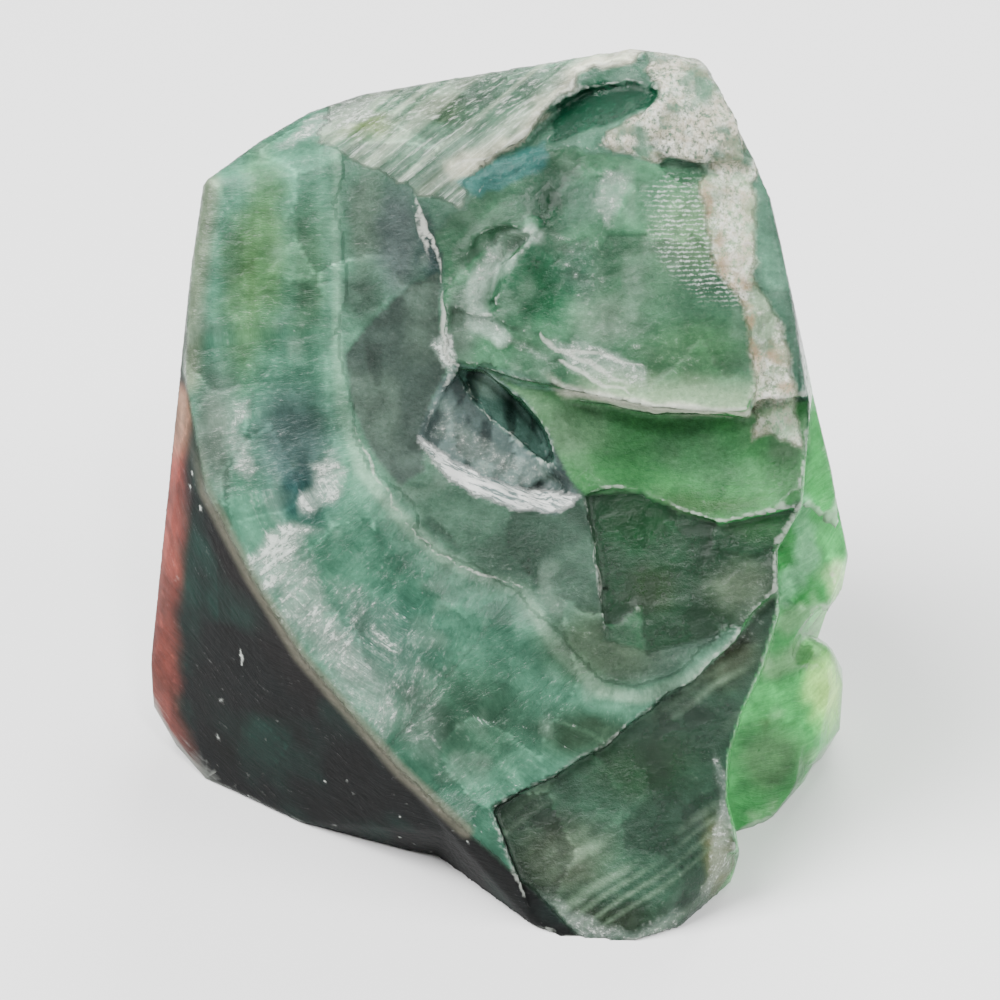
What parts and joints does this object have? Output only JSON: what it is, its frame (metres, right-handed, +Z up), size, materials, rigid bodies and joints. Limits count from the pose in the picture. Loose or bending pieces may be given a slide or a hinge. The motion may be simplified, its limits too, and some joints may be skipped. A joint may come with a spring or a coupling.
{
  "type": "raw fluorite",
  "caption": "A fist-sized lump of raw green fluorite, ground on its flanks, with a banded broken face leaning back over a flat foot.",
  "frame": {"origin": "middle of the bounding box in plan, on the ground under the flat foot", "axes": "+Z up; the broken face looks towards -Y and leans back; +X is the viewer's right as they look at the face"},
  "size_m": [0.124, 0.1212, 0.1242],
  "materials": {
    "fluorite_stone": "clear to cloudy green, polished on its flanks, broken in pale frosted shells on its face"
  },
  "bodies": {
    "root": {"fluorite": "fluorite_stone"}
  },
  "joints": []
}
